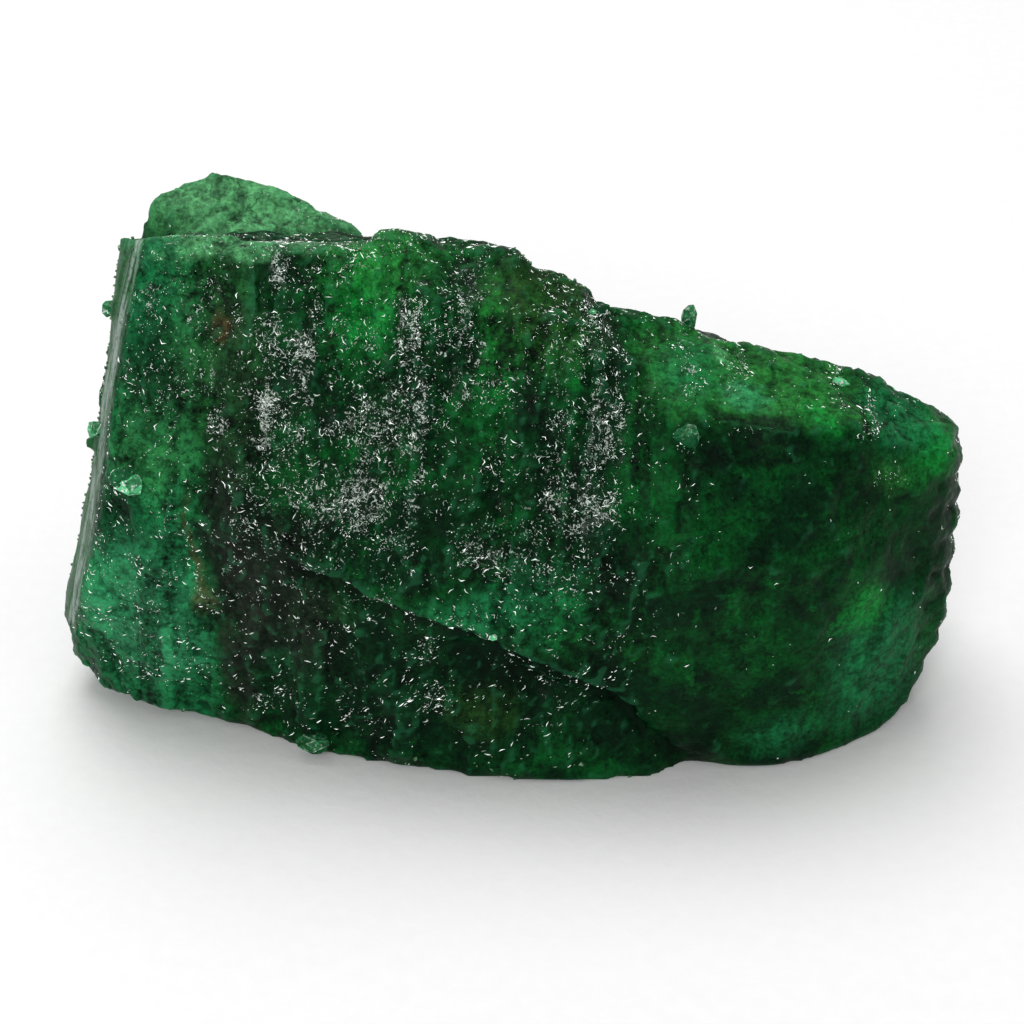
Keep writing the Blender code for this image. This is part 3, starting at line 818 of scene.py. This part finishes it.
# Where each colour lies: (centre, reach, softness, strength, colour), laid on in this order.
COLOUR_PATCHES = {
    "west_column": ((-15.2, -4, 12), (3.6, 5.5, 30), 0.22, 0.85, SEA_GREEN),
    "west_corner": ((-13.2, -3.0, 19.0), (1.7, 3.0, 2.4), 0.5, 0.7, SEA_GREEN),
    "west_blotch": ((-13.0, -3.9, 16.6), (1.9, 3.0, 1.5), 0.6, 0.8, NIGHT_GREEN),
    "west_middle": ((-13.4, -4.6, 13.6), (1.7, 3.0, 1.9), 0.6, 0.6, MOSS_GREEN),
    "west_grey": ((-14.8, -4.7, 10.0), (1.5, 3.0, 1.2), 0.6, 0.7, NIGHT_GREEN),
    "west_foot": ((-14.6, -4.8, 5.8), (2.6, 3.0, 3.6), 0.4, 0.75, PALE_SEA_GREEN),
    "west_upper": ((-10.9, -3.4, 17.4), (1.7, 3.0, 3.6), 0.5, 0.5, MOSS_GREEN),
    "middle_window": ((-5.3, -3.2, 18.9), (1.7, 3.0, 2.0), 0.6, 0.85, BRIGHT_GREEN),
    "middle_top": ((-4.6, -2.2, 20.2), (2.6, 2.4, 1.1), 0.5, 0.6, LEAF_GREEN),
    "centre_window": ((-0.6, -4.0, 17.3), (0.6, 3.0, 2.4), 0.7, 0.8, BRIGHT_GREEN),
    "centre_deep": ((-1.2, -6.1, 14.2), (1.9, 3.0, 2.2), 0.5, 0.5, DEEP_GREEN),
    "centre_night": ((-1.8, -7.2, 11.6), (1.5, 3.0, 1.6), 0.6, 0.7, BLACK_GREEN),
    "centre_grey": ((1.1, -5.9, 14.9), (1.0, 3.0, 1.4), 0.6, 0.6, NIGHT_GREEN),
    "top_olive": ((1.2, -2.8, 18.6), (2.2, 3.0, 1.8), 0.5, 0.6, OLIVE_GREEN),
    "step_night": ((3.8, -4.6, 16.6), (0.8, 2.0, 0.9), 0.5, 0.8, BLACK_GREEN),
    "east_step": ((5.4, -5.9, 14.8), (1.3, 3.0, 1.8), 0.6, 0.6, DEEP_GREEN),
    "lip_haze": ((0.9, -8.0, 8.6), (1.9, 2.0, 1.8), 0.6, 0.5, SEA_GREEN),
    "lip_rim": ((-1.6, -8.2, 8.2), (1.9, 1.6, 0.7), 0.5, 0.6, SEA_GREEN),
    # paler green on the upward-facing bevel: partly its own tone, partly painted light from above
    "east_bevel": ((10.5, -2.6, 15.8), (7.0, 3.3, 1.5), 0.25, 0.9, LEAF_GREEN),
    "bevel_sea": ((7.2, -3.4, 16.2), (1.6, 1.6, 0.9), 0.5, 0.7, SEA_GREEN),
    "bevel_light": ((8.4, -3.4, 15.8), (0.9, 2.4, 0.8), 0.6, 0.6, LEAF_GREEN),
    "bevel_gleam": ((8.7, -4.3, 15.5), (0.9, 0.8, 0.6), 0.4, 0.6, PALE_SEA_GREEN),
    "bevel_spark": ((7.9, -2.2, 16.0), (0.5, 0.5, 0.5), 0.5, 0.7, PALE_MOSS),
    "bevel_facet": ((11.6, -4.9, 14.8), (0.9, 0.9, 0.6), 0.4, 0.9, BRIGHT_GREEN),
    "east_window": ((14.2, -5.2, 12.6), (0.9, 2.0, 0.6), 0.6, 0.7, LEAF_GREEN),
    "east_top": ((16.2, -3.9, 12.8), (1.1, 2.6, 1.2), 0.5, 0.8, BRIGHT_GREEN),
    "shoulder_shadow": ((8.9, -5.8, 14.5), (2.9, 1.1, 0.9), 0.3, 0.9, BLACK_GREEN),
    "east_shadow": ((13.3, -5.8, 11.8), (1.1, 2.0, 0.9), 0.6, 0.8, BLACK_GREEN),
    "east_edge_shadow": ((16.3, -4.4, 9.2), (1.6, 3.0, 2.4), 0.5, 0.8, NIGHT_GREEN),
    "east_corner": ((14.4, -5.8, 4.2), (2.0, 2.8, 3.0), 0.5, 0.75, SEA_GREEN),
    "corner_window": ((13.8, -6.3, 7.0), (1.0, 2.0, 1.0), 0.6, 0.8, BRIGHT_GREEN),
    "corner_foot": ((10.8, -7.3, 1.8), (1.6, 1.6, 0.9), 0.6, 0.6, SEA_GREEN),
    "foot_shade": ((-2.2, -6.8, 3.8), (9.4, 2.4, 3.4), 0.35, 0.85, NIGHT_GREEN),
    # painted shade on the foot just below the lip
    "foot_under_lip_shade": ((0.5, -7.4, 5.0), (2.6, 2.0, 1.2), 0.6, 0.8, BLACK_GREEN),
    "foot_window": ((-1.2, -7.6, 3.2), (1.4, 2.0, 1.0), 0.6, 0.6, OLIVE_GREEN),
    "foot_teal": ((-8.9, -6.1, 4.3), (0.5, 1.2, 0.6), 0.6, 0.6, SEA_GREEN),
    # painted shade at the foot's east end, low down near the ground
    "foot_end_shade": ((7.1, -7.4, 1.4), (1.7, 2.0, 1.4), 0.6, 0.85, BLACK_GREEN),
    "dark_band": ((-10.7, -4, 7), (1.0, 5, 6.5), 0.35, 0.85, SCHIST_BROWN),
    "band_top": ((-10.2, -4, 15), (0.8, 5, 5), 0.5, 0.55, SCHIST_BROWN),
    "dark_foot": ((-8.6, -6.0, 7.6), (2.2, 2.6, 3.4), 0.5, 0.8, SCHIST_BROWN),
    "rust_spot": ((-12.0, -5.5, 7.0), (0.40, 1.6, 1.1), 0.5, 0.55, RUST_BROWN),
    "rust_line": ((-12.0, -5.3, 9.6), (0.18, 1.6, 2.2), 0.6, 0.5, RUST_BROWN),
    "upper_rust_spot": ((-10.8, -3.6, 17.9), (0.4, 1.0, 0.45), 0.6, 0.6, RUST_BROWN),
    "west_end": ((-16.0, 4.5, 7.5), (4.0, 4.5, 6.0), 0.5, 0.7, SEA_GREEN),
    "west_end_shade": ((-15.5, 3.0, 14.0), (4.0, 3.5, 2.5), 0.6, 0.7, NIGHT_GREEN),
    "back_moss": ((3.5, 8.5, 9.0), (3.5, 4.0, 5.0), 0.6, 0.6, MOSS_GREEN),
    "back_night": ((-3.5, 9.0, 7.0), (2.5, 4.0, 7.0), 0.6, 0.7, BLACK_GREEN),
    "back_window": ((-9.5, 9.5, 7.0), (2.5, 3.0, 4.5), 0.6, 0.6, BRIGHT_GREEN),
    "back_schist": ((9.5, 7.5, 6.0), (2.0, 4.0, 7.0), 0.5, 0.6, SCHIST_BROWN),
    "east_end": ((17.0, 1.5, 6.5), (2.5, 3.5, 4.5), 0.6, 0.6, SEA_GREEN),
    "back_lump": ((-10.4, 6.6, 17.0), (5.4, 2.4, 3.4), 0.35, 0.9, PALE_MOSS),
    "lump_shade": ((-14.2, 5.6, 16.6), (1.8, 2.0, 1.6), 0.6, 0.5, DEEP_GREEN),
    # pale top ledge and its end: partly their own tone, partly painted light on the upward faces
    "top_ledge": ((-10.6, -1.0, 20.7), (4.6, 1.5, 0.5), 0.4, 0.8, PALE_MOSS),
    "top_ledge_end": ((-14.0, -1.2, 20.4), (0.8, 1.6, 0.6), 0.5, 0.8, PALE_SEA_GREEN),
    "east_rim": ((14.6, -2.9, 13.7), (2.2, 1.8, 0.9), 0.5, 0.8, SEA_GREEN),
}

SMOOTH_FOOT = ((-14.9, -4.6, 5.4), (3.2, 3.0, 4.6), 0.2)    # the west foot, less blotchy than the rest


def place_in_mm(nodes):
    place = nodes.add("TexCoord").outputs["Object"]
    return nodes.vector("MULTIPLY", place, (1 / MM, 1 / MM, 1 / MM))


def new_material(name):
    made = bpy.data.materials.new(name)
    made.use_nodes = True
    nodes = Nodes(made.node_tree)
    return made, nodes, made.node_tree.nodes["Principled BSDF"]


def emerald_material():
    made, nodes, surface = new_material("cloudy_emerald")
    place = place_in_mm(nodes)
    loose = nodes.group(DRIFTED_PLACE, Place=place, Drift=2.2, Size=2.2)["Place"]
    streaks = nodes.group(STREAKS, Place=loose, Width=0.7, Length=6.0)["Shade"]
    clouds = nodes.noise(place, 2.6, detail=6.0, roughness=0.6)
    mottle = nodes.noise(place, 0.42, detail=5.0, roughness=0.7)
    fine = nodes.noise(place, 0.16, detail=3.0, roughness=0.6)
    chipped = nodes.group(CHIPPED, Place=place, Size=0.55)["Shade"]
    small_chipped = nodes.group(CHIPPED, Place=place, Size=0.20)["Shade"]
    bevel, ridge, frost = nodes.mask("bevel"), nodes.mask("ridge"), nodes.mask("frost")

    colour = nodes.mix(nodes.ramp(clouds, 0.40, 0.62), NIGHT_GREEN, DEEP_GREEN)
    glades = nodes.ramp(nodes.noise(loose, 1.1, detail=5.0, roughness=0.6), 0.56, 0.70, 0.0, 0.3)
    colour = nodes.mix(glades, colour, BRIGHT_GREEN)
    for centre, reach, edge, strength, tint in COLOUR_PATCHES.values():
        patch = nodes.group(SOFT_PATCH, Place=loose, Centre=centre, Reach=reach, Edge=edge)["Mask"]
        worn = nodes.math("MULTIPLY", patch, nodes.ramp(mottle, 0.30, 0.60, strength * 0.5, strength))
        colour = nodes.mix(worn, colour, tint)
    colour = nodes.mix(nodes.ramp(streaks, 0.52, 0.66, 0.0, 0.45), colour, NIGHT_GREEN)
    veins = nodes.group(VEINS, Place=loose, Size=1.5, Width=0.030)["Mask"]
    colour = nodes.mix(nodes.math("MULTIPLY", veins, 0.5), colour, BLACK_GREEN)
    small_veins = nodes.group(VEINS, Place=place, Size=0.55, Width=0.035)["Mask"]
    colour = nodes.mix(nodes.math("MULTIPLY", small_veins, 0.35), colour, BLACK_GREEN)
    centre, reach, edge = SMOOTH_FOOT
    smooth_foot = nodes.group(SOFT_PATCH, Place=loose, Centre=centre, Reach=reach, Edge=edge)
    calm = nodes.math("MAXIMUM", nodes.mask("matt"), nodes.math("MULTIPLY", smooth_foot["Mask"], 1.4))
    lively = nodes.math("SUBTRACT", 1.0, nodes.math("MULTIPLY", calm, 0.5))
    blotches = nodes.math("MULTIPLY_ADD", chipped, 0.18, nodes.ramp(mottle, 0.28, 0.72, -0.40, 0.40))
    specks = nodes.math("MULTIPLY_ADD", small_chipped, 0.16, nodes.ramp(fine, 0.3, 0.7, -0.30, 0.30))
    shade = nodes.math("MULTIPLY_ADD", blotches, lively, nodes.math("ADD", 1.0, specks))
    shade = nodes.math("MULTIPLY_ADD", nodes.mask("column"), 0.5, shade)
    colour = nodes.scaled(colour, nodes.math("MAXIMUM", shade, 0.08))
    pits = nodes.ramp(nodes.noise(place, 0.11, detail=2.0), 0.40, 0.33, 0.0, 0.65)
    colour = nodes.mix(nodes.math("MULTIPLY", pits, lively), colour, BLACK_GREEN)
    # painted shade in the hollows and painted highlight along the ridges
    colour = nodes.mix(nodes.ramp(ridge, -0.005, -0.03, 0.0, 0.45), colour, BLACK_GREEN)
    colour = nodes.mix(nodes.ramp(ridge, 0.01, 0.05, 0.0, 0.20), colour, PALE_SEA_GREEN)

    parts = nodes.add("SeparateXYZ", Vector=place)
    beyond_edge = nodes.mask("beyond_bevel_edge")
    stripes = nodes.add(
        "CombineXYZ",
        X=nodes.math("MULTIPLY", beyond_edge, 9.0),
        Y=nodes.math("MULTIPLY", parts.outputs["Z"], 0.5),
        Z=nodes.math("MULTIPLY", parts.outputs["Y"], 0.5),
    )
    streaky = nodes.ramp(nodes.noise(stripes.outputs["Vector"], 1.0, detail=4.0), 0.34, 0.64)
    streaky = nodes.math("MULTIPLY", streaky, nodes.ramp(fine, 0.36, 0.5, 0.45, 1.0))
    # painted sheen: grey streaks on the inner part of the bevelled face stand in for the light it reflects
    sheen = nodes.ramp(beyond_edge, 0.50, 0.34, 0.22, 1.0)
    grey = nodes.math("MULTIPLY", nodes.math("MULTIPLY", bevel, sheen), streaky)
    colour = nodes.mix(nodes.math("MULTIPLY", bevel, 0.5), colour, OLIVE_GREEN)
    colour = nodes.mix(nodes.math("MULTIPLY", grey, 0.9), colour, SHEEN_GREY)
    # painted shade along the crease at the bevelled face's inner edge
    west_of_it = nodes.ramp(beyond_edge, -0.14, -0.04)
    crease = nodes.math("MULTIPLY", west_of_it, nodes.ramp(beyond_edge, 0.08, 0.02))
    crease = nodes.math("MULTIPLY", crease, nodes.ramp(mottle, 0.40, 0.60, 0.1, 0.6))
    front = nodes.ramp(parts.outputs["Y"], BEVEL_FRONT + 0.3, BEVEL_FRONT - 0.3)
    colour = nodes.mix(nodes.math("MULTIPLY", crease, front), colour, BLACK_GREEN)
    # painted shade in the groove under the lip
    colour = nodes.mix(nodes.math("MULTIPLY", nodes.mask("groove"), 0.65), colour, BLACK_GREEN)
    colour = nodes.mix(nodes.ramp(frost, 0.05, 0.5, 0.0, 0.6), colour, NIGHT_GREEN)
    # painted glints: bright lace laid into the colour where the frost lies
    lace = nodes.group(LACE, Place=place, Size=0.30, Cover=frost)["Mask"]
    small_lace = nodes.group(LACE, Place=loose, Size=0.16, Cover=frost)["Mask"]
    glints = nodes.math("MULTIPLY", nodes.math("MAXIMUM", lace, small_lace), nodes.ramp(frost, 0.03, 0.15))
    colour = nodes.mix(nodes.math("MULTIPLY", glints, 0.6), colour, LACE_GLINT_WHITE)

    height = nodes.math("MULTIPLY_ADD", mottle, 0.07, nodes.math("MULTIPLY", fine, 0.07))
    rough = nodes.math("MULTIPLY", nodes.math("SUBTRACT", 1.0, bevel), nodes.ramp(frost, 0.0, 0.4, 0.45, 1.0))
    bump = nodes.add("Bump", Height=nodes.math("MULTIPLY", height, rough), Distance=MM, Strength=1.0)
    nodes.plug_all(
        surface,
        Base_Color=colour,
        Roughness=nodes.ramp(mottle, 0.35, 0.65, 0.28, 0.50),
        IOR=BERYL_IOR,
        Specular_IOR_Level=0.03,
        Coat_Weight=nodes.ramp(frost, 0.05, 0.6, 0.0, 0.12),
        Coat_Roughness=0.10,
        Normal=bump.outputs["Normal"],
    )
    return made


def fleck_glint_material():
    made, nodes, surface = new_material("frost")
    shine = nodes.mask("shine")
    # painted glint: the flecks' white colour, and the glow by emission of the brightest, which soft light
    # alone doesn't bring out
    flash = nodes.mix(nodes.ramp(shine, 0.25, 1.0), BLACK_GREEN, GLINT_WHITE)
    nodes.plug_all(
        surface,
        Base_Color=nodes.mix(nodes.ramp(shine, 0.0, 0.7), SEA_GREEN, GLINT_WHITE),
        Emission_Color=flash,
        Emission_Strength=0.75,
        Roughness=0.12,
        IOR=BERYL_IOR,
        Coat_Weight=1.0,
        Coat_Roughness=0.06,
    )
    return made


def chip_material():
    made, nodes, surface = new_material("broken_chip")
    place = place_in_mm(nodes)
    tone = nodes.noise(place, 0.22, detail=4.0, roughness=0.65)
    bright = nodes.math("ADD", nodes.mask("bright"), nodes.math("SUBTRACT", tone, 0.5))
    colour = nodes.mix(nodes.ramp(bright, 0.0, 1.0), linear(*CHIP_DARK), linear(*CHIP_LIGHT))
    # painted glints: sparkle spots on the bright chips and bright rims along thin edges
    sparkle = nodes.ramp(nodes.noise(place, 0.13, detail=2.0), 0.57, 0.63)
    colour = nodes.mix(nodes.math("MULTIPLY", sparkle, nodes.mask("bright")), colour, GLINT_WHITE)
    rim = nodes.math("MULTIPLY", nodes.mask("rim"), nodes.ramp(tone, 0.42, 0.56))
    bump = nodes.add("Bump", Height=nodes.math("MULTIPLY", tone, 0.06), Distance=MM, Strength=1.0)
    nodes.plug_all(
        surface,
        Base_Color=nodes.mix(rim, colour, GLINT_WHITE),
        Roughness=0.15,
        IOR=BERYL_IOR,
        Specular_IOR_Level=0.12,
        Subsurface_Weight=0.2,
        Subsurface_Radius=(0.25, 1.0, 0.45),
        Subsurface_Scale=0.4 * MM,
        Normal=bump.outputs["Normal"],
    )
    return made


def crumb_material():
    made, nodes, surface = new_material("crumb")
    tone = nodes.noise(place_in_mm(nodes), 0.5, detail=3.0)
    colour = nodes.mix(nodes.ramp(tone, 0.38, 0.62), linear(28, 82, 44), linear(96, 140, 92))
    nodes.plug_all(surface, Base_Color=colour, Roughness=0.4, IOR=BERYL_IOR)
    return made


# ---- studio ----------------------------------------------

VIEW_CENTRE = Vector((0.08, -1.0, 8.05)) * MM
VIEW_DISTANCE = 97 * MM
VIEW_HEIGHT = radians(35)
VIEW_WIDTH = 40.96 * MM     # what the picture spans at VIEW_CENTRE
SENSOR = 36.0

BACKDROP_COLOUR = (0.97, 0.97, 0.97, 1.0)
BACKDROP_STRENGTH = 0.50
# The lights: name, place and size in metres, watts.
LIGHTS = (
    ("softbox", (-0.03, 0.08, 0.28), 0.22, 0.56),
    ("front_fill", (-0.06, -0.27, 0.20), 0.12, 0.32),
)


def look_from(thing, place, target):
    thing.location = place
    thing.rotation_mode = "QUATERNION"
    thing.rotation_quaternion = (target - place).to_track_quat("-Z", "Y")


def add_camera():
    lens = bpy.data.cameras.new("studio_camera")
    lens.sensor_width = SENSOR
    lens.lens = SENSOR * VIEW_DISTANCE / VIEW_WIDTH
    lens.clip_start = 0.001
    lens.clip_end = 10.0
    camera = bpy.data.objects.new("studio_camera", lens)
    bpy.context.scene.collection.objects.link(camera)
    place = VIEW_CENTRE + Vector((0, -cos(VIEW_HEIGHT), sin(VIEW_HEIGHT))) * VIEW_DISTANCE
    look_from(camera, place, VIEW_CENTRE)
    bpy.context.scene.camera = camera


def add_area_light(name, place, size, watts):
    light = bpy.data.lights.new(name, "AREA")
    light.shape = "DISK"
    light.size = size
    light.energy = watts
    made = bpy.data.objects.new(name, light)
    bpy.context.scene.collection.objects.link(made)
    look_from(made, Vector(place), VIEW_CENTRE)


def add_floor():
    bpy.ops.mesh.primitive_plane_add(size=3.0)
    floor = bpy.context.object
    floor.name = "studio_floor"
    made, nodes, surface = new_material("white_card")
    grain = nodes.noise(place_in_mm(nodes), 0.7, detail=4.0)
    card = nodes.mix(grain, linear(236, 236, 236), linear(242, 242, 242))
    bump = nodes.add("Bump", Height=nodes.math("MULTIPLY", grain, 0.05), Distance=MM, Strength=0.6)
    nodes.plug_all(surface, Base_Color=card, Roughness=0.8, Normal=bump.outputs["Normal"])
    floor.data.materials.append(made)


def add_studio():
    world = bpy.data.worlds.new("pale_studio")
    world.use_nodes = True
    world.node_tree.nodes["Background"].inputs["Color"].default_value = BACKDROP_COLOUR
    world.node_tree.nodes["Background"].inputs["Strength"].default_value = BACKDROP_STRENGTH
    bpy.context.scene.world = world
    for light in LIGHTS:
        add_area_light(*light)
    add_floor()


# ---- the object ------------------------------------------


def finish_piece(piece, material):
    piece.data.transform(Matrix.Scale(MM, 4))
    piece.data.materials.append(material)
    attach(piece, "root")


skin = emerald_skin()
surface = surface_of(skin)
flecks = frost_flecks(skin)
chips = clinging_chips(surface)
crumbs = edge_crumbs(surface)
finish_piece(skin, emerald_material())
finish_piece(flecks, fleck_glint_material())
finish_piece(chips, chip_material())
finish_piece(crumbs, crumb_material())
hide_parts(NODE)

add_camera()
add_studio()
bpy.context.scene.view_settings.view_transform = "Standard"
